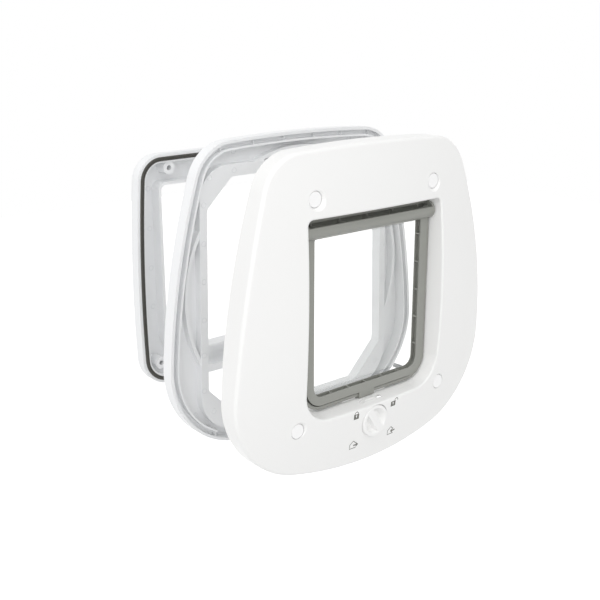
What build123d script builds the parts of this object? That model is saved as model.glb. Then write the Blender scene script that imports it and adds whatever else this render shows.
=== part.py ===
from build123d import *
import os

# Cat flap for a glass pane or a door, its three frames drawn apart on one axis.
# Millimetres. X to the right, Z up, Y from the room side to the outside.
# Y = 0 is the back of the front frame, which bears on the pane.

# outline shared by the front and the middle frame: four broad arcs and four round corners
TOP = 129.9
FOOT = -136.0
SIDE_REACH = 137.3
SIDE_Z = -87.0
CROWN_R = 1224.0
FOOT_R = 351.0
SIDE_R = 600.0
TOP_CORNER_R = 37.4
FOOT_CORNER_R = 74.0

# front frame moulding with a domed face
DOME_R = 757.0
DOME_Y = -31.6
WALL = 2.5
EDGE_R = 3.0
RIB = 1.8
RIB_X = 51.0
RIB_Z = 40.0
WEATHER_LIP = 2.4
LIP_CLEAR = 0.8

# passage: mouth in the face, then the straight throat behind the dish
MOUTH_Y = -28.0
MOUTH_TOP = 78.6
MOUTH_BOTTOM = -84.5
MOUTH_TOP_HALF = 72.5
MOUTH_BOTTOM_HALF = 75.5
MOUTH_LOW_R = 26.0
MOUTH_TOP_R = 5.0
THROAT_Y = -14.0
ROOF_DROP = 1.6
SILL_RISE = 3.3
THROAT_HALF = 70.0
THROAT_LOW_R = 21.0
LIP_R = 1.6

# flap
HINGE_Y = -13.0
HINGE_Z = 67.5
BARREL_R = 7.0
BARREL_WALL = 1.6
BARREL_END = 2.0
FIN_TOP = 8.0
SIDE_GAP = 0.9
PIN_R = 1.5
PIN_LENGTH = 12.0
PIN_OUT = 6.0
RUNNING_FIT = 0.05
FLAP_BOTTOM = -79.0
FLAP_LOW_R = 20.0
PLATE_T = 3.0
PLATE_BACK = -6.8
RIM_FRONT = -15.0
RIM_INSET = 3.7
RIM_WIDTH = 7.4
EDGE_FRONT = -13.6
EDGE_WIDTH = 2.5
TICK = 1.2
SLOT_SUNK = 0.8
SLOT_WIDTH = 4.6
SLOT_DEPTH = 3.0
PANE_T = 2.0
REBATE = 1.2
STEP_IN = 2.6
STEP_RISE = 0.6
TAB_HALF = 8.5
TAB_DROP = 1.6
BARREL_RIBS = (-58.0, -29.0, 0.0, 29.0, 58.0)
SIDE_TICKS = (-48.0, -24.0, 0.0, 24.0, 48.0)
FOOT_TICKS = (-38.0, -19.0, 0.0, 19.0, 38.0)

# lock
DIAL_Z = -99.2
DIAL_R = 14.0
DIAL_RIM_R = 13.6
DIAL_SEAT = -23.4
DIAL_T = 3.0
DIAL_GAP = 0.15
DIAL_RING = 2.6
SEAT_MARGIN = 0.3
CUP_R = 11.0
CUP_DEPTH = 2.8
BOWL_DEPTH = 4.4
BOWL_FOOT_R = 7.6
BOWL_FILLET = 2.0
GRIP_WIDTH = 6.4
GRIP_FOOT = 9.2
GRIP_TURN = 56.0
SHAFT_R = 4.0
CAM_T = 3.0
CAM_GAP = 0.4
CAM_RISE = 2.1
CAM_STAND_OFF = 2.2
CAM_SIDE_GAP = 0.6
CAM_SECTOR = 160.0
FRONT_CAM_START = 145.0
REAR_CAM_START = 55.0
DIAL_SCREW_R = 1.2
DIAL_SCREW_GRIP = 3.0

# magnets in the flap's foot and in the sill
MAGNET = 12.0
MAGNET_T = 2.0
MAGNET_H = 4.0
MAGNET_X = 17.0
MAGNET_WALL = 1.5
SILL_SKIN = 1.0
PAD_RISE = 0.8

# screws and caps
SCREW_TOP_X = 63.4
SCREW_TOP_Z = 92.7
SCREW_BOTTOM_X = 80.2
SCREW_BOTTOM_Z = -86.5
SCREW_R = 2.0
SCREW_HOLE_R = 2.3
SCREW_LENGTH = 44.5
SCREW_SEAT = -12.5
HEAD_R = 4.0
HEAD_H = 2.6
CAP_Y = -21.8
CAP_R = 6.1
CAP_T = 2.0
CAP_GAP = 0.3
CAP_DISH = 4.0

# middle frame
MIDDLE_Y = 68.0
MIDDLE_DEPTH = 13.0
GROOVE_WIDTH = 4.0
GROOVE_DEPTH = 6.0
GROOVE_WALL = 1.5
BOX_TOP_HALF = 101.3
BOX_FOOT_HALF = 106.3
BOX_TOP = 108.5
BOX_BOTTOM = -116.5
BOX_SUNK = 3.0
BOX_TOP_R = 27.0
BOX_LOW_R = 34.0
STRIP = 7.0
TOP_STRIP = 9.8
FOOT_STRIP = 8.0
TOP_CHAMFER = 24.0
FOOT_CHAMFER = 31.5
OCTAGON_R = 6.0
RING_R = 118.0
DRAIN_HALF = 93.0
RING_T = 3.0
RING_SUNK = 1.0
GROOVE_RIB = 1.0
GROOVE_RIB_SUNK = 3.5
GROOVE_RIBS = (-80.0, -48.0, -16.0, 16.0, 48.0, 80.0)

# rear frame and its seal
REAR_Y = 172.0
REAR_DEPTH = 17.0
REAR_TOP = 106.4
REAR_FOOT = -108.6
REAR_REACH = 101.3
REAR_SIDE_Z = -30.0
REAR_ARC_R = 1400.0
REAR_CROWN_R = 5000.0
REAR_TOP_R = 24.0
REAR_FOOT_R = 27.0
REAR_EDGE_R = 9.0
SEAL_WIDTH = 3.6
SEAL_DEPTH = 3.0
SEAL_PROUD = 1.5
SEAL_LIP = 2.7
COLLAR_SUNK = 2.0
BOSS_R = 5.7
REAR_OPEN_TOP = 78.0
REAR_OPEN_BOTTOM = -81.5
REAR_OPEN_HALF = 72.5

THROAT_TOP = MOUTH_TOP - ROOF_DROP
THROAT_BOTTOM = MOUTH_BOTTOM + SILL_RISE
FLAP_HALF = THROAT_HALF - SIDE_GAP
PLATE_FRONT = PLATE_BACK - PLATE_T
CAM_LOW_R = FLAP_BOTTOM - TAB_DROP - CAM_GAP - DIAL_Z
CAM_HIGH_R = CAM_LOW_R + CAM_RISE
FRONT_CAM_Y = RIM_FRONT - CAM_STAND_OFF - CAM_T + 0.7
REAR_CAM_Y = PLATE_BACK + CAM_STAND_OFF
CUP_BACK = DIAL_SEAT + CUP_DEPTH
SCREWS = {
    "top_left": (-SCREW_TOP_X, SCREW_TOP_Z),
    "top_right": (SCREW_TOP_X, SCREW_TOP_Z),
    "bottom_left": (-SCREW_BOTTOM_X, SCREW_BOTTOM_Z),
    "bottom_right": (SCREW_BOTTOM_X, SCREW_BOTTOM_Z),
}


def slab(flat, front, back):
    """A flat XZ shape given thickness from Y = front to Y = back."""
    return extrude(Plane.XZ.offset(-back) * flat, back - front)


def rod(radius, x, z, front, back):
    """A round bar along Y."""
    return slab(Pos(x, z) * Circle(radius), front, back)


def block(x0, x1, y0, y1, z0, z1):
    return Pos((x0 + x1) / 2, (y0 + y1) / 2, (z0 + z1) / 2) * Box(x1 - x0, y1 - y0, z1 - z0)


def bar(radius, x, length):
    """A round bar along X on the hinge axis."""
    return Pos(x, HINGE_Y, HINGE_Z) * Cylinder(radius, length, rotation=(0, 90, 0))


def panel(top, bottom, top_half, bottom_half, top_r, bottom_r, grow=0.0):
    """A four-sided flat shape, mirror-symmetric, with rounded corners, made larger all round by grow."""
    low, high = bottom - grow, top + grow
    wide, narrow = bottom_half + grow, top_half + grow
    flat = make_face(Polyline((-wide, low), (wide, low), (narrow, high), (-narrow, high), close=True))
    flat = fillet(flat.vertices().group_by(Axis.Y)[-1], top_r + grow)
    return fillet(flat.vertices().group_by(Axis.Y)[0], bottom_r + grow)


def arched(top, foot, reach, side_z, crown_r, foot_r, side_r, top_corner, foot_corner, inset):
    """What four large discs have in common, its corners rounded, the whole drawn in by inset."""
    flat = Pos(0, top - crown_r) * Circle(crown_r - inset)
    flat &= Pos(0, foot + foot_r) * Circle(foot_r - inset)
    for side in (-1, 1):
        disc = Rot(0, 0, 90 + side * 90) * Circle(side_r - inset)
        flat &= Pos(side * (reach - side_r), side_z) * disc
    flat = fillet(flat.vertices().group_by(Axis.Y)[-1], top_corner - inset)
    return fillet(flat.vertices().group_by(Axis.Y)[0], foot_corner - inset)


def outline(inset=0.0):
    return arched(TOP, FOOT, SIDE_REACH, SIDE_Z, CROWN_R, FOOT_R, SIDE_R,
                  TOP_CORNER_R, FOOT_CORNER_R, inset)


def rear_outline(inset=0.0):
    return arched(REAR_TOP, REAR_FOOT, REAR_REACH, REAR_SIDE_Z, REAR_CROWN_R, REAR_ARC_R, REAR_ARC_R,
                  REAR_TOP_R, REAR_FOOT_R, inset)


def mouth(grow=0.0):
    return panel(MOUTH_TOP, MOUTH_BOTTOM, MOUTH_TOP_HALF, MOUTH_BOTTOM_HALF,
                 MOUTH_TOP_R, MOUTH_LOW_R, grow)


def throat(grow=0.0):
    return panel(THROAT_TOP, THROAT_BOTTOM, THROAT_HALF, THROAT_HALF,
                 MOUTH_TOP_R, THROAT_LOW_R, grow)


def dish(grow=0.0):
    """The funnel between mouth and throat, carried straight on in front of the mouth."""
    funnel = loft([Plane.XZ.offset(-MOUTH_Y) * mouth(grow), Plane.XZ.offset(-THROAT_Y) * throat(grow)])
    return funnel + slab(mouth(grow), DOME_Y, MOUTH_Y)


def rounded_front(body, radius):
    """Rounds the edge of a body's foremost face."""
    return fillet(body.faces().sort_by(Axis.Y)[0].outer_wire().edges(), radius)


def rounded_back(body, radius):
    return fillet(body.faces().sort_by(Axis.Y)[-1].outer_wire().edges(), radius)


def domed(flat, inset):
    """A slab on Y = 0 whose front is the domed face, lowered by inset."""
    ball = Pos(0, DOME_Y + DOME_R, 0) * Sphere(DOME_R - inset)
    return slab(flat, DOME_Y, 0) & ball


def front_frame():
    plate = rounded_front(domed(outline(), 0), EDGE_R)
    hollow = domed(outline(WALL), WALL)
    frame = plate - hollow
    frame += slab(throat(WALL), THROAT_Y, 0)
    frame += dish(WALL) & plate
    for x, z in SCREWS.values():
        frame += rod(CAP_R + CAP_GAP + WALL, x, z, DOME_Y, SCREW_SEAT + WALL) & plate
        frame += rod(HEAD_R + 1, x, z, SCREW_SEAT, 0)
    for side in (-1, 1):
        frame += hinge_bearing(side)
        frame += magnet_pocket(side, MAGNET_WALL)
        for rib in stiffening_ribs(side):
            frame += rib & hollow
    frame -= slab(throat(), THROAT_Y, WALL)
    frame -= dish()
    face = frame.faces().filter_by(GeomType.SPHERE).sort_by(SortBy.AREA)[-1]
    frame = fillet(face.inner_wires().sort_by(SortBy.LENGTH)[-1].edges(), LIP_R)
    frame += rod(DIAL_R + SEAT_MARGIN, 0, DIAL_Z, DIAL_SEAT, CUP_BACK)
    frame -= rod(DIAL_R + SEAT_MARGIN, 0, DIAL_Z, DOME_Y, DIAL_SEAT)
    frame -= rod(CUP_R + RUNNING_FIT, 0, DIAL_Z, DIAL_SEAT, CUP_BACK)
    frame += weather_lip()
    for x, z in SCREWS.values():
        frame -= cap_well(x, z)
        frame -= rod(SCREW_HOLE_R, x, z, SCREW_SEAT, WALL)
    for side in (-1, 1):
        frame += sill_pad(side)
        frame -= bar(PIN_R + RUNNING_FIT, side * (THROAT_HALF + PIN_OUT / 2), PIN_OUT + 1)
        frame -= magnet_pocket(side, 0)
    for y in (FRONT_CAM_Y, REAR_CAM_Y):
        frame -= rod(CAM_HIGH_R + CAM_SIDE_GAP, 0, DIAL_Z, y - CAM_SIDE_GAP, y + CAM_T + CAM_SIDE_GAP)
    return frame


def hinge_bearing(side):
    """A block behind the throat's wall that holds the hinge pin."""
    x = side * (THROAT_HALF + PIN_OUT)
    return Pos(x, HINGE_Y, HINGE_Z) * Box(PIN_OUT * 2, BARREL_R * 2, BARREL_R * 2)


def magnet_pocket(side, wall):
    """The sill magnet's space, or the block round it where wall is given."""
    x = side * MAGNET_X
    half = MAGNET / 2 + wall
    top = THROAT_BOTTOM - SILL_SKIN
    return block(x - half, x + half, PLATE_FRONT - wall, PLATE_BACK + wall, top - MAGNET_T, top)


def sill_pad(side):
    """The low raised cover over a sill magnet."""
    x = side * MAGNET_X
    half = MAGNET / 2 + MAGNET_WALL
    return block(x - half, x + half, PLATE_FRONT - MAGNET_WALL, PLATE_BACK + MAGNET_WALL,
                 THROAT_BOTTOM - SILL_SKIN / 2, THROAT_BOTTOM + PAD_RISE)


def stiffening_ribs(side):
    """One upright and one level rib inside the hollow back."""
    x = side * RIB_X
    z = side * RIB_Z
    reach = SIDE_R
    upright = block(x - RIB / 2, x + RIB / 2, DOME_Y, -WALL, -reach, reach)
    level = block(-reach, reach, DOME_Y, -WALL, z - RIB / 2, z + RIB / 2)
    return upright, level


def weather_lip():
    """A strip hanging behind the barrel from the throat's roof."""
    low = HINGE_Z + PLATE_BACK - HINGE_Y + LIP_CLEAR
    return block(-THROAT_HALF, THROAT_HALF, -WEATHER_LIP, 0, low, THROAT_TOP + WALL / 2)


def cap_well(x, z):
    """The dished seat round a cap and the well below it."""
    radius = CAP_R + CAP_GAP
    start = Plane.XZ.offset(-CAP_Y) * Pos(x, z)
    flare = start * Cone(radius, radius + CAP_DISH, CAP_DISH, align=(Align.CENTER, Align.CENTER, Align.MIN))
    return flare + rod(radius, x, z, CAP_Y, SCREW_SEAT)


def screw_cap(x, z):
    under = CAP_Y + CAP_T
    cap = rounded_front(rod(CAP_R, x, z, CAP_Y, under), 0.6)
    return cap + rod(CAP_R, x, z, under, SCREW_SEAT) - rod(HEAD_R + 0.5, x, z, under, SCREW_SEAT)


def fixing_screw(x, z):
    screw = rounded_front(rod(HEAD_R, x, z, SCREW_SEAT - HEAD_H, SCREW_SEAT), 1.2)
    screw += rod(SCREW_R, x, z, SCREW_SEAT, SCREW_SEAT + SCREW_LENGTH)
    for turn in (0, 90):
        screw -= Pos(x, SCREW_SEAT - HEAD_H, z) * Rot(0, turn, 0) * Box(HEAD_R, 2.4, 1.0)
    return screw


def flap_panel(inset, raised=0.0):
    """The flap's outline below the barrel, drawn in by inset, its top raised."""
    half = FLAP_HALF - inset
    top = HINGE_Z - BARREL_R + 2 + raised
    return panel(top, FLAP_BOTTOM + inset, half, half, 1.0, max(FLAP_LOW_R - inset, 2))


WINDOW_IN = RIM_INSET + RIM_WIDTH


def slot_ribs():
    """Small ribs across the slot in the rim's inner wall."""
    half = SLOT_DEPTH / 2
    x = FLAP_HALF - WINDOW_IN + half
    z = FLAP_BOTTOM + WINDOW_IN - half
    front = RIM_FRONT + SLOT_SUNK
    back = front + SLOT_WIDTH
    ribs = [block(s - TICK / 2, s + TICK / 2, front, back, z - half, z + half) for s in FOOT_TICKS]
    for side in (-x, x):
        for s in SIDE_TICKS:
            ribs.append(block(side - half, side + half, front, back, s - TICK / 2, s + TICK / 2))
    return ribs


def flap_barrel():
    """A trough along the hinge axis, open to the upper front, with cross ribs and a raised back fin."""
    length = FLAP_HALF * 2
    inside = length - 2 * BARREL_END
    inner = BARREL_R - BARREL_WALL
    trough = bar(BARREL_R, 0, length) - bar(inner, 0, inside)
    for x in BARREL_RIBS:
        trough += bar(inner + 0.2, x, 1.0)
    back = HINGE_Y + BARREL_R * 0.3
    low = HINGE_Z + BARREL_R * 0.43
    trough -= block(-inside / 2, inside / 2, HINGE_Y - BARREL_R, back, low, HINGE_Z + BARREL_R)
    fin = block(-inside / 2, inside / 2, back, back + BARREL_WALL, HINGE_Z + inner, HINGE_Z + FIN_TOP)
    return trough + fin


def flap_frame():
    flap = slab(flap_panel(0), PLATE_FRONT, PLATE_BACK)
    flap += slab(flap_panel(0) - flap_panel(EDGE_WIDTH), EDGE_FRONT, PLATE_FRONT)
    flap += slab(flap_panel(RIM_INSET), RIM_FRONT, PLATE_FRONT)
    tab_top = FLAP_BOTTOM + RIM_INSET + 1
    flap += block(-TAB_HALF, TAB_HALF, RIM_FRONT, PLATE_BACK, FLAP_BOTTOM - TAB_DROP, tab_top)
    flap -= slab(flap_panel(WINDOW_IN, -2), RIM_FRONT - 1, PLATE_BACK + 1)
    slot = RIM_FRONT + SLOT_SUNK
    flap -= slab(flap_panel(WINDOW_IN - SLOT_DEPTH, -2), slot, slot + SLOT_WIDTH)
    for rib in slot_ribs():
        flap += rib
    flap -= flap_pane()
    flap -= bar(BARREL_R - BARREL_WALL, 0, 2 * (FLAP_HALF - BARREL_END))
    flap += flap_barrel()
    depth = PIN_LENGTH - PIN_OUT + 1
    for side in (-1, 1):
        x = side * (FLAP_HALF - depth / 2)
        flap += bar(PIN_R + BARREL_WALL, x, depth)
        flap -= bar(PIN_R, x, depth)
        flap -= flap_magnet(side)
    return flap


def flap_pane():
    """A clear sheet let into the rim from behind, with a raised field inside a low step."""
    front = PLATE_BACK - PANE_T
    sheet = slab(flap_panel(WINDOW_IN - REBATE, -2), front, PLATE_BACK)
    return sheet + slab(flap_panel(WINDOW_IN + STEP_IN, -2 - STEP_IN), front - STEP_RISE, front)


def flap_magnet(side):
    x = side * MAGNET_X
    low = FLAP_BOTTOM + TICK
    return block(x - MAGNET / 2, x + MAGNET / 2, PLATE_BACK - MAGNET_T, PLATE_BACK, low, low + MAGNET_H)


def hinge_pin(side):
    return bar(PIN_R, side * (THROAT_HALF + PIN_OUT - 0.5 - PIN_LENGTH / 2), PIN_LENGTH)


def lock_dial():
    """A knob turned about Y: a ring on the face, a bowl sunk in it and a grip across the bowl."""
    back = DIAL_SEAT - DIAL_GAP
    front = back - DIAL_T
    upwards = (Align.CENTER, Align.CENTER, Align.MIN)
    seat = Plane.XZ.offset(-back) * Pos(0, DIAL_Z)
    dial = rounded_front(seat * Cone(DIAL_R, DIAL_RIM_R, DIAL_T, align=upwards), 1.0)
    dial += rod(CUP_R, 0, DIAL_Z, back, CUP_BACK)
    foot = Plane.XZ.offset(-front - BOWL_DEPTH) * Pos(0, DIAL_Z)
    bowl = foot * Cone(BOWL_FOOT_R, DIAL_RIM_R - DIAL_RING, BOWL_DEPTH, align=upwards)
    bowl = fillet(bowl.edges().filter_by(GeomType.CIRCLE).sort_by(Axis.Y)[-1], BOWL_FILLET)
    ridge = Rot(0, 0, -GRIP_TURN) * Rectangle(DIAL_R * 2, GRIP_WIDTH)
    ridge_foot = Rot(0, 0, -GRIP_TURN) * Rectangle(DIAL_R * 2, GRIP_FOOT)
    crest = Plane.XZ.offset(-front) * Pos(0, DIAL_Z)
    grip = loft([foot * ridge_foot, crest * ridge])
    dial -= bowl - grip
    return dial - rod(DIAL_SCREW_R, 0, DIAL_Z, CUP_BACK - DIAL_SCREW_GRIP, CUP_BACK)


def cam_disc(y, start):
    """A disc with a high sector that begins at the angle start, clockwise from the top."""
    disc = rod(CAM_LOW_R, 0, DIAL_Z, y, y + CAM_T)
    lobe = rod(CAM_HIGH_R, 0, DIAL_Z, y, y + CAM_T)
    reach = CAM_HIGH_R * 2
    half = block(-reach, reach, y, y + CAM_T, 0, reach)
    first = Pos(0, 0, DIAL_Z) * Rot(0, start + 90, 0) * half
    last = Pos(0, 0, DIAL_Z) * Rot(0, start + CAM_SECTOR - 90, 0) * half
    return disc + (lobe & first & last)


def lock_cam():
    end = REAR_CAM_Y + CAM_T
    cam = rod(SHAFT_R, 0, DIAL_Z, CUP_BACK, end)
    cam += cam_disc(FRONT_CAM_Y, FRONT_CAM_START)
    cam += cam_disc(REAR_CAM_Y, REAR_CAM_START)
    return cam - rod(DIAL_SCREW_R, 0, DIAL_Z, CUP_BACK, end)


def dial_screw():
    seat = REAR_CAM_Y + CAM_T
    head = rod(DIAL_SCREW_R * 2, 0, DIAL_Z, seat, seat + 0.9)
    return head + rod(DIAL_SCREW_R, 0, DIAL_Z, CUP_BACK - DIAL_SCREW_GRIP, seat)


def box_half(z):
    """Half the width of the middle frame's box, which grows a little towards the foot."""
    return BOX_FOOT_HALF + (BOX_TOP_HALF - BOX_FOOT_HALF) * (z - BOX_BOTTOM) / (BOX_TOP - BOX_BOTTOM)


def octagon(grow=0.0):
    """The middle frame's hole, a tapered panel with cut corners."""
    top = BOX_TOP - TOP_STRIP + grow
    low = BOX_BOTTOM + FOOT_STRIP - grow
    slant = grow * (2 - 2 ** 0.5)
    high_cut = TOP_CHAMFER + slant
    low_cut = FOOT_CHAMFER + slant
    inset = STRIP - grow
    right = [(box_half(top) - inset - high_cut, top), (box_half(top - high_cut) - inset, top - high_cut),
             (box_half(low + low_cut) - inset, low + low_cut), (box_half(low) - inset - low_cut, low)]
    left = [(-x, z) for x, z in reversed(right)]
    flat = make_face(Polyline(*right, *left, close=True))
    return fillet(flat.vertices(), OCTAGON_R)


def plate_box(grow=0.0):
    return panel(BOX_TOP, BOX_BOTTOM, BOX_TOP_HALF, BOX_FOOT_HALF, BOX_TOP_R, BOX_LOW_R, grow)


def middle_frame():
    back = MIDDLE_Y + MIDDLE_DEPTH
    floor = back - WALL
    plate_y = MIDDLE_Y + BOX_SUNK
    drain_top = BOX_BOTTOM + FOOT_STRIP
    bed = MIDDLE_Y + GROOVE_DEPTH
    body = rounded_back(slab(outline(), MIDDLE_Y, back), WALL)
    rim_in = slab(outline(WALL), MIDDLE_Y, floor)
    groove_in = slab(outline(WALL + GROOVE_WIDTH), MIDDLE_Y, floor)
    groove = (rim_in - groove_in) & block(-SIDE_R, SIDE_R, MIDDLE_Y, bed, -SIDE_R, SIDE_R)
    body -= groove
    body -= slab(outline(WALL + GROOVE_WIDTH + GROOVE_WALL), MIDDLE_Y, floor)
    body -= block(-DRAIN_HALF, DRAIN_HALF, MIDDLE_Y, floor, FOOT, drain_top) & rim_in
    for x in (-DRAIN_HALF, DRAIN_HALF):
        body += groove & block(x - RIB / 2, x + RIB / 2, MIDDLE_Y + GROOVE_RIB_SUNK, bed, FOOT, drain_top)
    for x in GROOVE_RIBS:
        half = GROOVE_RIB / 2
        body += groove & block(x - half, x + half, MIDDLE_Y + GROOVE_RIB_SUNK, bed, 0, TOP)
    body += slab(Circle(RING_R) - Circle(RING_R - RING_T), plate_y + RING_SUNK, floor) & groove_in
    body += slab(plate_box(), plate_y, back)
    body -= slab(plate_box(-RIB) - octagon(RIB), plate_y + RIB, back)
    return body - slab(octagon(), MIDDLE_Y, back)


def seal_ring(front):
    """The seal's band along the rear frame's edge; the foot has none, so that water drains."""
    back = REAR_Y + SEAL_DEPTH
    ring = slab(rear_outline(SEAL_LIP), front, back) - slab(rear_outline(SEAL_LIP + SEAL_WIDTH), front, back)
    half = REAR_REACH - REAR_FOOT_R
    return ring, block(-half, half, front, back, REAR_FOOT, REAR_FOOT + REAR_FOOT_R)


def rear_passage(grow=0.0):
    return panel(REAR_OPEN_TOP, REAR_OPEN_BOTTOM, REAR_OPEN_HALF, REAR_OPEN_HALF,
                 MOUTH_TOP_R, THROAT_LOW_R, grow)


def rear_frame():
    back = REAR_Y + REAR_DEPTH
    inner = back - WALL
    body = rounded_back(slab(rear_outline(), REAR_Y, back), REAR_EDGE_R)
    tray = slab(rear_outline(SEAL_LIP + SEAL_WIDTH + GROOVE_WALL), REAR_Y, inner)
    body -= rounded_back(tray, REAR_EDGE_R - WALL)
    body += slab(rear_passage(WALL), REAR_Y + COLLAR_SUNK, back)
    for x, z in SCREWS.values():
        body += rod(BOSS_R, x, z, REAR_Y + COLLAR_SUNK, inner)
    for x, z in SCREWS.values():
        body -= rod(SCREW_HOLE_R, x, z, REAR_Y, inner)
    ring, gap = seal_ring(REAR_Y)
    body -= ring - gap
    return body - slab(rear_passage(), REAR_Y, back)


def rear_seal():
    ring, gap = seal_ring(REAR_Y - SEAL_PROUD)
    ring = fillet(ring.faces().sort_by(Axis.Y)[0].edges(), SEAL_PROUD * 0.9)
    return ring - gap


def main():
    os.makedirs("parts", exist_ok=True)
    parts = {"front_frame": front_frame()}
    for name, (x, z) in SCREWS.items():
        parts["cap_" + name] = screw_cap(x, z)
    parts["fixing_screws"] = Compound(children=[fixing_screw(x, z) for x, z in SCREWS.values()])
    parts["flap_frame"] = flap_frame()
    parts["flap_pane"] = flap_pane()
    for name, side in (("left", -1), ("right", 1)):
        parts["hinge_pin_" + name] = hinge_pin(side)
        parts["flap_magnet_" + name] = flap_magnet(side)
        parts["sill_magnet_" + name] = magnet_pocket(side, 0)
    parts["lock_dial"] = lock_dial()
    parts["lock_cam"] = lock_cam()
    parts["dial_screw"] = dial_screw()
    parts["middle_frame"] = middle_frame()
    parts["rear_frame"] = rear_frame()
    parts["rear_seal"] = rear_seal()
    for name, shape in parts.items():
        export_step(shape, "parts/" + name + ".step")


main()
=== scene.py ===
import math

import bmesh
import bpy
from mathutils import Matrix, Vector
from mathutils.bvhtree import BVHTree


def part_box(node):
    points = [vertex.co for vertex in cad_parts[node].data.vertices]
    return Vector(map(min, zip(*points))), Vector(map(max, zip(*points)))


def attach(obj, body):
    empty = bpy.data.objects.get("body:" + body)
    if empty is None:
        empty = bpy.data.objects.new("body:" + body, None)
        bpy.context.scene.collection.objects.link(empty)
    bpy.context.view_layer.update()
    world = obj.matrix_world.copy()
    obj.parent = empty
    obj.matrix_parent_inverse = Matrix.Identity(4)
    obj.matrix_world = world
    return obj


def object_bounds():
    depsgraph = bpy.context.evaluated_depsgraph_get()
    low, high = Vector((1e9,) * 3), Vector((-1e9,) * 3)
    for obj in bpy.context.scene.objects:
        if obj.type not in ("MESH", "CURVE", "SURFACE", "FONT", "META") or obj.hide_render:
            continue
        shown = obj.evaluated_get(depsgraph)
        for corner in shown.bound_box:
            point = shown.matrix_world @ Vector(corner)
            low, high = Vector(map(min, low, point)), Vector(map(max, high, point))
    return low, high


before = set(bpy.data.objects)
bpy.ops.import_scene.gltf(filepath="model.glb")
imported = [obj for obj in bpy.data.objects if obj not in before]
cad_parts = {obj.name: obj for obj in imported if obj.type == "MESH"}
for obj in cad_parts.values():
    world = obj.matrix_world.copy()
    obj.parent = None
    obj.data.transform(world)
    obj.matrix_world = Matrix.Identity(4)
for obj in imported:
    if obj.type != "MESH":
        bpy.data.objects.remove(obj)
cad_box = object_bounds()


# Front frame
# The room side of the flap: one injection moulding of white ABS with a shallow domed face,
# polished in the mould, dished towards the passage and screwed through to the rear frame.
MM = 0.001
FRONT_WHITE = "#F5F5F4"
POLISHED_ROUGH = (0.275, 0.285)
POLISHED_PEEL = 0.0005 * MM
PEEL_SIZE = 1.6 * MM
PEEL_DETAIL = 3.0
PEEL_RANGE = (0.3, 0.7)
PEEL_STRENGTH = 0.5
ABS_IOR = 1.53


def linear(code):
    """One sRGB hex colour as linear red, green, blue and alpha."""
    parts = [int(code[i:i + 2], 16) / 255 for i in (1, 3, 5)]
    return [p / 12.92 if p <= 0.04045 else ((p + 0.055) / 1.055) ** 2.4 for p in parts] + [1.0]


def add(tree, kind, inputs=None, **properties):
    """One more node in the tree, with its own settings and with values or links for its inputs."""
    made = tree.nodes.new(kind)
    for name, value in properties.items():
        setattr(made, name, value)
    for name, value in (inputs or {}).items():
        if isinstance(value, bpy.types.NodeSocket):
            tree.links.new(value, made.inputs[name])
        else:
            made.inputs[name].default_value = value
    return made


def blank(name):
    """A material and its tree, which is still empty."""
    material = bpy.data.materials.new(name)
    material.use_nodes = True
    tree = material.node_tree
    tree.nodes.clear()
    return material, tree


def moulded_abs(name, colour, roughness, peel_depth):
    """Injection moulded ABS, dyed through, with the mould's fine peel in its height and polish."""
    material, tree = blank(name)
    place = add(tree, "ShaderNodeTexCoord").outputs["Object"]
    peel = add(tree, "ShaderNodeTexNoise", {
        "Vector": place, "Scale": 1 / PEEL_SIZE, "Detail": PEEL_DETAIL}).outputs["Fac"]
    rough = add(tree, "ShaderNodeMapRange", {
        "Value": peel, "From Min": PEEL_RANGE[0], "From Max": PEEL_RANGE[1],
        "To Min": roughness[1], "To Max": roughness[0]})
    bump = add(tree, "ShaderNodeBump", {
        "Height": peel, "Strength": PEEL_STRENGTH, "Distance": peel_depth})
    skin = add(tree, "ShaderNodeBsdfPrincipled", {
        "Base Color": linear(colour), "Roughness": rough.outputs["Result"],
        "Normal": bump.outputs["Normal"], "IOR": ABS_IOR})
    add(tree, "ShaderNodeOutputMaterial", {"Surface": skin.outputs["BSDF"]})
    return material


def dress(names, material):
    """Gives CAD nodes their finish."""
    for name in names:
        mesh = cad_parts[name].data
        mesh.materials.clear()
        mesh.materials.append(material)


# A polished mould gives the plastic a soft, even gloss without visible grain.
polished_abs = moulded_abs("polished_white_abs", FRONT_WHITE, POLISHED_ROUGH, POLISHED_PEEL)
dress(["front_frame"], polished_abs)


# Screw caps
# Four round push-in covers of white ABS that hide the screw heads. They are moulded apart
# from the frame and look a touch whiter, with the same soft gloss.
CAP_WHITE = "#FBFBFB"
cap_abs = moulded_abs("cap_white_abs", CAP_WHITE, POLISHED_ROUGH, POLISHED_PEEL)
dress(["cap_top_left", "cap_top_right", "cap_bottom_left", "cap_bottom_right"], cap_abs)


# Printed signs
# Four pictograms pad-printed in dark grey ink round the dial: locked, open, in only, out only.
# The ink is a thin film, so each sign is a flat shape laid on the face that it is printed on.
INK = "#55554F"
INK_PALE = "#6E6E68"
INK_GRAIN = 0.4 * MM
INK_ROUGH = 0.5
INK_FILM = 0.04 * MM
SIGN_X = 21.8 * MM
SIGN_UPPER_Z = -88.5 * MM
SIGN_LOWER_Z = -115.6 * MM
OPEN_LOCK_SHIFT = 1.4 * MM
LOCK_HALF = 2.7 * MM
LOCK_HEIGHT = 4.5 * MM
SHACKLE_R = 1.8 * MM
SHACKLE_LINE = 0.55 * MM
SHACKLE_LEG = 0.3 * MM
OPEN_FOOT = 0.3 * MM
KEYHOLE_R = 0.75 * MM
KEYHOLE_SINK = 1.5 * MM
KEYHOLE_DROP = 1.7 * MM
KEYHOLE_SLOT_HALF = 0.4 * MM
KEYHOLE_GAP = 30
HOUSE_HALF = 3.4 * MM
HOUSE_WALL = 4.0 * MM
HOUSE_ROOF = 6.8 * MM
HOUSE_LINE = 0.7 * MM
ARROW_HEAD = 2.6 * MM
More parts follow.
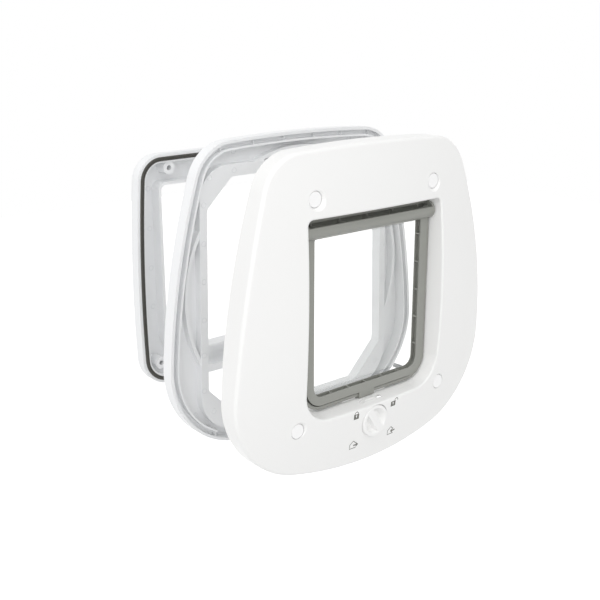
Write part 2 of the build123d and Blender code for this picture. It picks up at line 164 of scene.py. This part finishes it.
ARROW_TAIL = 3.0 * MM
ARROW_LINE = 1.2 * MM
ARROW_HALF = 2.2 * MM
ARROW_Z = 2.5 * MM
ARROW_OUT_X = 3.3 * MM
ARROW_IN_X = 2.4 * MM
ARC_STEPS = 14
# A sign's points are looked up on the face from this far before the part, in metres.
BEFORE_FACE = 1.0
BACKWARD = Vector((0, 1, 0))


def arc(centre, radius, start, end):
    """Points on an arc, degrees from the right and anticlockwise."""
    turns = [math.radians(start + (end - start) * i / ARC_STEPS) for i in range(ARC_STEPS + 1)]
    return [(centre[0] + radius * math.cos(t), centre[1] + radius * math.sin(t)) for t in turns]


def band(line, width):
    """The outline of an open line drawn with that width."""
    sides = ([], [])
    for i, point in enumerate(line):
        here = Vector(point)
        before = Vector(line[max(i - 1, 0)])
        after = Vector(line[min(i + 1, len(line) - 1)])
        across = (after - before).normalized().orthogonal() * width / 2
        sides[0].append(tuple(here + across))
        sides[1].append(tuple(here - across))
    return sides[0] + sides[1][::-1]


def flat_mesh(loops):
    """A filled flat mesh of closed loops, in which a loop inside another is a hole."""
    outline = bpy.data.curves.new("loops", "CURVE")
    outline.dimensions = "2D"
    outline.fill_mode = "BOTH"
    for loop in loops:
        spline = outline.splines.new("POLY")
        spline.points.add(len(loop) - 1)
        spline.use_cyclic_u = True
        for point, (u, v) in zip(spline.points, loop):
            point.co = (u, v, 0, 1)
    holder = bpy.data.objects.new("loops", outline)
    mesh = bpy.data.meshes.new_from_object(holder)
    bpy.data.objects.remove(holder)
    bpy.data.curves.remove(outline)
    return mesh


def surface_of(node):
    """A search tree of a CAD node's triangles, to lay things on."""
    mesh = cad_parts[node].data
    mesh.calc_loop_triangles()
    corners = [v.co.copy() for v in mesh.vertices]
    return BVHTree.FromPolygons(corners, [t.vertices[:] for t in mesh.loop_triangles])


def printed(name, loops, x, z, surface, material):
    """A sign laid on the front of a surface, as a film of ink with a thickness."""
    mesh = flat_mesh(loops)
    skin = bmesh.new()
    skin.from_mesh(mesh)
    for vertex in skin.verts:
        start = Vector((x + vertex.co.x, cad_box[0][1] - BEFORE_FACE, z + vertex.co.y))
        seat = surface.ray_cast(start, BACKWARD)[0]
        vertex.co = seat - INK_FILM * BACKWARD
    top = skin.faces[:]
    for face in top:
        face.normal_update()
        if face.normal.y > 0:
            face.normal_flip()
    lower = bmesh.ops.extrude_face_region(skin, geom=top, use_keep_orig=True)["geom"]
    lower_verts = [g for g in lower if isinstance(g, bmesh.types.BMVert)]
    bmesh.ops.translate(skin, vec=2 * INK_FILM * BACKWARD, verts=lower_verts)
    bmesh.ops.recalc_face_normals(skin, faces=skin.faces[:])
    skin.to_mesh(mesh)
    skin.free()
    mesh.materials.append(material)
    sign = bpy.data.objects.new(name, mesh)
    bpy.context.scene.collection.objects.link(sign)
    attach(sign, "front")


def padlock(open_shift):
    """Body with a keyhole, and a shackle that is moved aside when the lock is open."""
    body = [(-LOCK_HALF, 0), (LOCK_HALF, 0), (LOCK_HALF, LOCK_HEIGHT), (-LOCK_HALF, LOCK_HEIGHT)]
    eye = (0, LOCK_HEIGHT - KEYHOLE_SINK)
    slot_foot = eye[1] - KEYHOLE_DROP
    hole = arc(eye, KEYHOLE_R, KEYHOLE_GAP - 90, 270 - KEYHOLE_GAP)
    hole += [(-KEYHOLE_SLOT_HALF, slot_foot), (KEYHOLE_SLOT_HALF, slot_foot)]
    centre = (open_shift, LOCK_HEIGHT + SHACKLE_LEG)
    right_foot = LOCK_HEIGHT - OPEN_FOOT if open_shift else LOCK_HEIGHT
    bow = [(centre[0] + SHACKLE_R, right_foot)] + arc(centre, SHACKLE_R, 0, 180)
    bow += [(centre[0] - SHACKLE_R, LOCK_HEIGHT)]
    return [body, hole, band(bow, SHACKLE_LINE)]


def house(direction, arrow_x):
    """House outline with an arrow through its open right wall; direction 1 points out, -1 in."""
    wall = [(HOUSE_HALF, HOUSE_WALL), (0, HOUSE_ROOF), (-HOUSE_HALF, HOUSE_WALL), (-HOUSE_HALF, 0),
            (HOUSE_HALF, 0)]
    tip = arrow_x + direction * ARROW_HEAD
    tail = arrow_x - direction * ARROW_TAIL
    arrow = [(tail, ARROW_Z - ARROW_LINE / 2), (arrow_x, ARROW_Z - ARROW_LINE / 2),
             (arrow_x, ARROW_Z - ARROW_HALF), (tip, ARROW_Z), (arrow_x, ARROW_Z + ARROW_HALF),
             (arrow_x, ARROW_Z + ARROW_LINE / 2), (tail, ARROW_Z + ARROW_LINE / 2)]
    return [band(wall, HOUSE_LINE), arrow]


# The pad leaves the ink a little uneven and matt, drawn coarser than it is so that it shows.
# Of the mix node's sockets, 6 and 7 are its two colours and 2 is the colour that comes out.
ink, tree = blank("pad_printed_ink")
place = add(tree, "ShaderNodeTexCoord").outputs["Object"]
grain = add(tree, "ShaderNodeTexNoise", {"Vector": place, "Scale": 1 / INK_GRAIN})
tone = add(tree, "ShaderNodeMix", {
    0: grain.outputs["Fac"], 6: linear(INK), 7: linear(INK_PALE)}, data_type="RGBA")
film = add(tree, "ShaderNodeBsdfPrincipled", {"Base Color": tone.outputs[2], "Roughness": INK_ROUGH})
add(tree, "ShaderNodeOutputMaterial", {"Surface": film.outputs["BSDF"]})

front_face = surface_of("front_frame")
lock_z = SIGN_UPPER_Z - (LOCK_HEIGHT + SHACKLE_LEG + SHACKLE_R) / 2
house_z = SIGN_LOWER_Z - HOUSE_ROOF / 2
printed("sign_locked", padlock(0), -SIGN_X, lock_z, front_face, ink)
printed("sign_open", padlock(2 * SHACKLE_R), SIGN_X - OPEN_LOCK_SHIFT, lock_z, front_face, ink)
printed("sign_in", house(-1, ARROW_IN_X), SIGN_X, house_z, front_face, ink)
printed("sign_out", house(1, ARROW_OUT_X), -SIGN_X, house_z, front_face, ink)


# Fixing screws and hinge pins
# Four pan-head screws under the caps, two stub pins for the flap and the small screw that holds
# the cam on the dial, all of zinc plated steel.
ZINC = "#B9BABB"
ZINC_DULL = "#A2A3A4"
ZINC_GRAIN = 1.2 * MM
ZINC_DETAIL = 4.0
ZINC_ROUGH = (0.25, 0.45)

# The plating leaves a fine satin grey, cloudy in tone and gloss.
zinc, tree = blank("zinc_plated_steel")
place = add(tree, "ShaderNodeTexCoord").outputs["Object"]
cloud = add(tree, "ShaderNodeTexNoise", {
    "Vector": place, "Scale": 1 / ZINC_GRAIN, "Detail": ZINC_DETAIL}).outputs["Fac"]
tone = add(tree, "ShaderNodeMix", {
    0: cloud, 6: linear(ZINC), 7: linear(ZINC_DULL)}, data_type="RGBA")
rough = add(tree, "ShaderNodeMapRange", {
    "Value": cloud, "To Min": ZINC_ROUGH[0], "To Max": ZINC_ROUGH[1]})
plating = add(tree, "ShaderNodeBsdfPrincipled", {
    "Base Color": tone.outputs[2], "Metallic": 1.0, "Roughness": rough.outputs["Result"]})
add(tree, "ShaderNodeOutputMaterial", {"Surface": plating.outputs["BSDF"]})
dress(["fixing_screws", "hinge_pin_left", "hinge_pin_right", "dial_screw"], zinc)


# Magnets
# Small flat bars of sintered ferrite, pressed into the flap's foot and under the sill, which
# hold the flap shut.
FERRITE = "#3A3A3C"
FERRITE_PALE = "#4B4B4E"
FERRITE_GRAIN = 0.6 * MM
FERRITE_DETAIL = 5.0
FERRITE_PIT = 0.05 * MM
FERRITE_PIT_STRENGTH = 0.4
FERRITE_ROUGH = 0.62

# Sintering leaves a dark, dull and gritty skin, with the grit drawn coarser so that it shows.
ferrite, tree = blank("sintered_ferrite")
place = add(tree, "ShaderNodeTexCoord").outputs["Object"]
grit = add(tree, "ShaderNodeTexNoise", {
    "Vector": place, "Scale": 1 / FERRITE_GRAIN, "Detail": FERRITE_DETAIL}).outputs["Fac"]
tone = add(tree, "ShaderNodeMix", {
    0: grit, 6: linear(FERRITE), 7: linear(FERRITE_PALE)}, data_type="RGBA")
bump = add(tree, "ShaderNodeBump", {
    "Height": grit, "Strength": FERRITE_PIT_STRENGTH, "Distance": FERRITE_PIT})
ceramic = add(tree, "ShaderNodeBsdfPrincipled", {
    "Base Color": tone.outputs[2], "Roughness": FERRITE_ROUGH, "Normal": bump.outputs["Normal"]})
add(tree, "ShaderNodeOutputMaterial", {"Surface": ceramic.outputs["BSDF"]})
dress(["flap_magnet_left", "flap_magnet_right", "sill_magnet_left", "sill_magnet_right"], ferrite)


# Flap frame
# The swinging rim with its hinge barrel and catch tab, one moulding of mid grey ABS that hangs
# on the two stub pins.
FLAP_GREY = "#91928C"
FLAP_ROUGH = (0.3, 0.38)
SATIN_PEEL = 0.001 * MM

# A satin skin, which reads darker in the trough and the channels where little light gets in.
grey_abs = moulded_abs("satin_grey_abs", FLAP_GREY, FLAP_ROUGH, SATIN_PEEL)
dress(["flap_frame"], grey_abs)


# Flap pane
# The clear window, a sheet of acrylic let into the rim from behind.
CLEAR = "#FBFCFB"
ACRYLIC_IOR = 1.49
HAZE = 25 * MM
HAZE_DETAIL = 2.0
HAZE_ROUGH = 0.02

# Cast acrylic is as clear as glass, with a haze from handling that is only just there.
clear, tree = blank("clear_acrylic")
place = add(tree, "ShaderNodeTexCoord").outputs["Object"]
haze = add(tree, "ShaderNodeTexNoise", {"Vector": place, "Scale": 1 / HAZE, "Detail": HAZE_DETAIL})
rough = add(tree, "ShaderNodeMapRange", {
    "Value": haze.outputs["Fac"], "To Min": 0.0, "To Max": HAZE_ROUGH})
sheet = add(tree, "ShaderNodeBsdfPrincipled", {
    "Base Color": linear(CLEAR), "Roughness": rough.outputs["Result"],
    "IOR": ACRYLIC_IOR, "Transmission Weight": 1.0})
add(tree, "ShaderNodeOutputMaterial", {"Surface": sheet.outputs["BSDF"]})
dress(["flap_pane"], clear)


# Lock dial and cam
# The four-way turning lock: a dial with a finger grip in the front frame and its cam behind
# the sill, both of the front frame's polished white ABS.
dress(["lock_dial", "lock_cam"], polished_abs)


# Middle frame
# The tray that lies on the outer side of the door's glass, one moulding of white ABS with a
# drained edge groove, clamped between the glass and the rear frame.
SATIN_WHITE = "#F5F6F7"
SATIN_ROUGH = (0.38, 0.46)

# An unpolished mould gives a satin skin that mirrors almost nothing.
satin_abs = moulded_abs("satin_white_abs", SATIN_WHITE, SATIN_ROUGH, SATIN_PEEL)
dress(["middle_frame"], satin_abs)


# Rear frame
# The outside half, a deep box of the same satin white ABS with a tunnel and four bosses that
# take the fixing screws.
dress(["rear_frame"], satin_abs)


# Ejector marks
# Round witness lines that the mould's ejector pins leave on faces of the middle and rear frames
# that are hidden once fitted, each a ring of the same plastic that stands a hair high, coloured
# greyer as painted shade.
MARK_R = 2.1 * MM
MARK_LINE = 0.5 * MM
# Painted shade: the rings' colour is greyer than the frames' white, standing in for the shadow at
# their step.
MARK_SHADE_WHITE = "#E9EAEC"
MARK_ROUGH = (0.45, 0.55)
RING_STEPS = 28
LINE_STEPS = 6
PLATE_MARKS = ((98, 79), (99, 48), (100, 17), (101, -15), (102, -45), (103, -76))
CORNER_MARKS = ((92, 100), (68, 103.5), (94, -96.4), (63, 117.4), (108, -98.6))
REAR_MARKS = ((78.5, 74), (78.5, 38), (79, 1.5), (79, -35))


def ring_tree():
    """A tree that sets one thin ring flat against the face at each point of the mesh it is given."""
    tree = bpy.data.node_groups.new("ejector_rings", "GeometryNodeTree")
    tree.interface.new_socket("Points", in_out="INPUT", socket_type="NodeSocketGeometry")
    tree.interface.new_socket("Ring radius", in_out="INPUT", socket_type="NodeSocketFloat")
    tree.interface.new_socket("Line width", in_out="INPUT", socket_type="NodeSocketFloat")
    tree.interface.new_socket("Material", in_out="INPUT", socket_type="NodeSocketMaterial")
    tree.interface.new_socket("Rings", in_out="OUTPUT", socket_type="NodeSocketGeometry")
    given = add(tree, "NodeGroupInput").outputs
    half = add(tree, "ShaderNodeMath", {0: given["Line width"], 1: 0.5}, operation="MULTIPLY")
    line = add(tree, "GeometryNodeCurvePrimitiveCircle", {
        "Resolution": RING_STEPS, "Radius": given["Ring radius"]})
    section = add(tree, "GeometryNodeCurvePrimitiveCircle", {
        "Resolution": LINE_STEPS, "Radius": half.outputs["Value"]})
    ring = add(tree, "GeometryNodeCurveToMesh", {
        "Curve": line.outputs["Curve"], "Profile Curve": section.outputs["Curve"]})
    upright = (math.radians(90), 0, 0)
    copies = add(tree, "GeometryNodeInstanceOnPoints", {
        "Points": given["Points"], "Instance": ring.outputs["Mesh"], "Rotation": upright})
    solid = add(tree, "GeometryNodeRealizeInstances", {"Geometry": copies.outputs["Instances"]})
    coated = add(tree, "GeometryNodeSetMaterial", {
        "Geometry": solid.outputs["Geometry"], "Material": given["Material"]})
    add(tree, "NodeGroupOutput", {"Rings": coated.outputs["Geometry"]})
    return tree


def set_input(modifier, name, value):
    """Sets a modifier's named input by the identifier of its socket."""
    for item in modifier.node_group.interface.items_tree:
        if item.name == name:
            modifier[item.identifier] = value


def ejector_marks(name, places, node, body, tree, material):
    """Rings on the front of a CAD node at those places and their mirror images, as one plain mesh."""
    surface = surface_of(node)
    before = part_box(node)[0][1] - MARK_R
    starts = [Vector((side * x * MM, before, z * MM)) for side in (-1, 1) for x, z in places]
    seats = [surface.ray_cast(start, BACKWARD)[0] for start in starts]
    points = bpy.data.meshes.new(name + "_points")
    points.from_pydata([seat for seat in seats if seat], [], [])
    holder = bpy.data.objects.new(name + "_points", points)
    bpy.context.scene.collection.objects.link(holder)
    rings = holder.modifiers.new("rings", "NODES")
    rings.node_group = tree
    set_input(rings, "Ring radius", MARK_R)
    set_input(rings, "Line width", MARK_LINE)
    set_input(rings, "Material", material)
    ready = holder.evaluated_get(bpy.context.evaluated_depsgraph_get())
    mesh = bpy.data.meshes.new_from_object(ready)
    bpy.data.objects.remove(holder)
    marks = bpy.data.objects.new(name, mesh)
    bpy.context.scene.collection.objects.link(marks)
    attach(marks, body)


# Painted shade: the ring is coloured a shade greyer than the plastic round it, for the shadow at its
# step, and is a little duller.
painted_shade_abs = moulded_abs("painted_shade_white_abs", MARK_SHADE_WHITE, MARK_ROUGH, SATIN_PEEL)
ring_nodes = ring_tree()
middle_marks = PLATE_MARKS + CORNER_MARKS
ejector_marks("middle_ejector_marks", middle_marks, "middle_frame", "middle", ring_nodes, painted_shade_abs)
ejector_marks("rear_ejector_marks", REAR_MARKS, "rear_frame", "rear", ring_nodes, painted_shade_abs)


# Rear seal
# A cord of black EPDM rubber pressed into the rear frame's rim, which closes the joint to the
# middle frame and is open at the foot for drainage.
RUBBER = "#34322D"
RUBBER_PALE = "#45443F"
RUBBER_GRAIN = 0.9 * MM
RUBBER_DETAIL = 4.0
RUBBER_PIT = 0.05 * MM
RUBBER_PIT_STRENGTH = 0.3
RUBBER_ROUGH = 0.55

# Extruded rubber is matt and near black, with a faint pale bloom.
rubber, tree = blank("black_epdm_rubber")
place = add(tree, "ShaderNodeTexCoord").outputs["Object"]
bloom = add(tree, "ShaderNodeTexNoise", {
    "Vector": place, "Scale": 1 / RUBBER_GRAIN, "Detail": RUBBER_DETAIL}).outputs["Fac"]
tone = add(tree, "ShaderNodeMix", {
    0: bloom, 6: linear(RUBBER), 7: linear(RUBBER_PALE)}, data_type="RGBA")
bump = add(tree, "ShaderNodeBump", {
    "Height": bloom, "Strength": RUBBER_PIT_STRENGTH, "Distance": RUBBER_PIT})
cord = add(tree, "ShaderNodeBsdfPrincipled", {
    "Base Color": tone.outputs[2], "Roughness": RUBBER_ROUGH, "Normal": bump.outputs["Normal"]})
add(tree, "ShaderNodeOutputMaterial", {"Surface": cord.outputs["BSDF"]})
dress(["rear_seal"], rubber)


# Studio
# A pale floor well below the parts, which hang apart as on a display, in white surroundings.
# A wide soft box stands above the camera, and weaker ones hang overhead and stand to the left.
FLOOR_DROP = 0.30
FLOOR_HALF = 2.5
FLOOR_WHITE = "#DEDEDE"
FLOOR_LIFT = 0.8
STUDIO_WHITE = "#FFFFFF"
SKY = 0.62
# Each box has its place and its side in metres and its power in watts.
SOFT_BOXES = {
    "overhead": ((0.0, 0.1, 1.8), 2.0, 3.0),
    "key": ((-0.6, -1.2, 1.2), 2.0, 14.0),
    "left": ((-1.7, 0.15, 0.6), 1.8, 6.0),
    "fill": ((-1.1, -1.3, 0.1), 1.6, 3.0),
}

floor_z = cad_box[0][2] - FLOOR_DROP
floor_corners = [(x * FLOOR_HALF, y * FLOOR_HALF, floor_z)
                 for x, y in ((-1, -1), (1, -1), (1, 1), (-1, 1))]
floor_mesh = bpy.data.meshes.new("floor")
floor_mesh.from_pydata(floor_corners, [], [(0, 1, 2, 3)])
floor = bpy.data.objects.new("floor", floor_mesh)
bpy.context.scene.collection.objects.link(floor)


def seen_ray(tree):
    """1 for what the camera sees straight, in a reflection or through a clear piece, else 0."""
    path = add(tree, "ShaderNodeLightPath").outputs
    mirrored = add(tree, "ShaderNodeMath", {
        0: path["Is Camera Ray"], 1: path["Is Glossy Ray"]}, operation="MAXIMUM")
    seen = add(tree, "ShaderNodeMath", {
        0: mirrored.outputs[0], 1: path["Is Transmission Ray"]}, operation="MAXIMUM")
    return seen.outputs[0]


# Matt paper that takes the shadow, lifted to white where it is seen.
paper, tree = blank("white_studio_paper")
matt = add(tree, "ShaderNodeBsdfDiffuse", {"Color": linear(FLOOR_WHITE)})
lift = add(tree, "ShaderNodeMath", {0: seen_ray(tree), 1: FLOOR_LIFT}, operation="MULTIPLY")
glow = add(tree, "ShaderNodeEmission", {"Color": linear(STUDIO_WHITE), "Strength": lift.outputs[0]})
summed = add(tree, "ShaderNodeAddShader", {0: matt.outputs[0], 1: glow.outputs[0]})
add(tree, "ShaderNodeOutputMaterial", {"Surface": summed.outputs[0]})
floor_mesh.materials.append(paper)

world = bpy.data.worlds.new("studio")
bpy.context.scene.world = world
world.use_nodes = True
tree = world.node_tree
tree.nodes.clear()
room = add(tree, "ShaderNodeBackground", {"Color": linear(STUDIO_WHITE), "Strength": SKY})
white = add(tree, "ShaderNodeBackground", {"Color": linear(STUDIO_WHITE), "Strength": 1.0})
mixed = add(tree, "ShaderNodeMixShader", {0: seen_ray(tree), 1: room.outputs[0], 2: white.outputs[0]})
add(tree, "ShaderNodeOutputWorld", {"Surface": mixed.outputs[0]})


def soft_box(name, place, size, power):
    """A square lamp that faces the middle of the parts."""
    lamp = bpy.data.lights.new(name, "AREA")
    lamp.size = size
    lamp.energy = power
    holder = bpy.data.objects.new(name, lamp)
    holder.location = place
    holder.rotation_euler = (-Vector(place)).to_track_quat("-Z", "Y").to_euler()
    bpy.context.scene.collection.objects.link(holder)


for box_name, (box_place, box_size, box_power) in SOFT_BOXES.items():
    soft_box(box_name, box_place, box_size, box_power)


# Camera
# Stands in front of the left corner, a little above, as the photograph was taken.
# Its place is in metres, its turns in degrees, its sensor and lens in millimetres.
CAMERA_PLACE = (-0.5014, -0.5220, 0.2192)
CAMERA_PITCH = 73.04
CAMERA_YAW = -40.24
CAMERA_SENSOR = 36.0
CAMERA_LENS = 55.56
camera_data = bpy.data.cameras.new("camera")
camera_data.sensor_width = CAMERA_SENSOR
camera_data.lens = CAMERA_LENS
camera = bpy.data.objects.new("camera", camera_data)
camera.location = CAMERA_PLACE
camera.rotation_euler = (math.radians(CAMERA_PITCH), 0, math.radians(CAMERA_YAW))
bpy.context.scene.collection.objects.link(camera)
bpy.context.scene.camera = camera
bpy.context.scene.view_settings.view_transform = "Standard"
